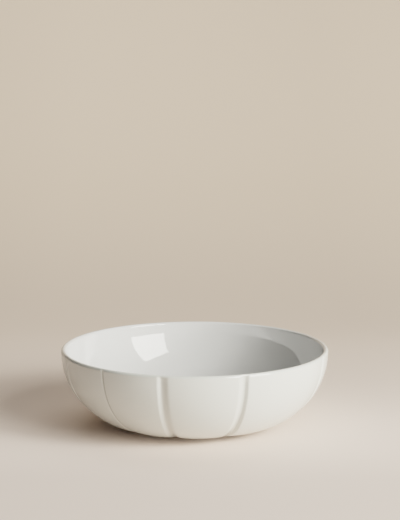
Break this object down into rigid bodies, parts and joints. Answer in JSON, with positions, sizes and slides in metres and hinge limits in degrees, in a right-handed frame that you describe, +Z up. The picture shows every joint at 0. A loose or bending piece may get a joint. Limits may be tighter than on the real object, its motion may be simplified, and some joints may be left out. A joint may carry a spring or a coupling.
{
  "type": "serving bowl",
  "caption": "Low round white porcelain serving bowl with a plain smooth inside, a rounded lip and an outside parted into soft uneven lobes by vertical grooves, standing on a small foot ring.",
  "frame": {"origin": "on the table under the centre of the bowl, at the foot ring's flat", "axes": "+Z up along the bowl's axis; -Y is the front, where the middle of a lobe of middling width faces; +X to the right of the front"},
  "size_m": [0.2598, 0.2597, 0.075],
  "materials": {
    "porcelain": "fired, unglazed, matt",
    "bare_porcelain": "unglazed foot, fine dry grain, ground flat",
    "white_glaze": "clear gloss glaze over white porcelain"
  },
  "bodies": {
    "root": {"porcelain_body": "porcelain", "foot_ring": "bare_porcelain", "glaze_inside": "white_glaze", "glaze_outside": "white_glaze", "glaze_under_base": "white_glaze"}
  },
  "joints": []
}
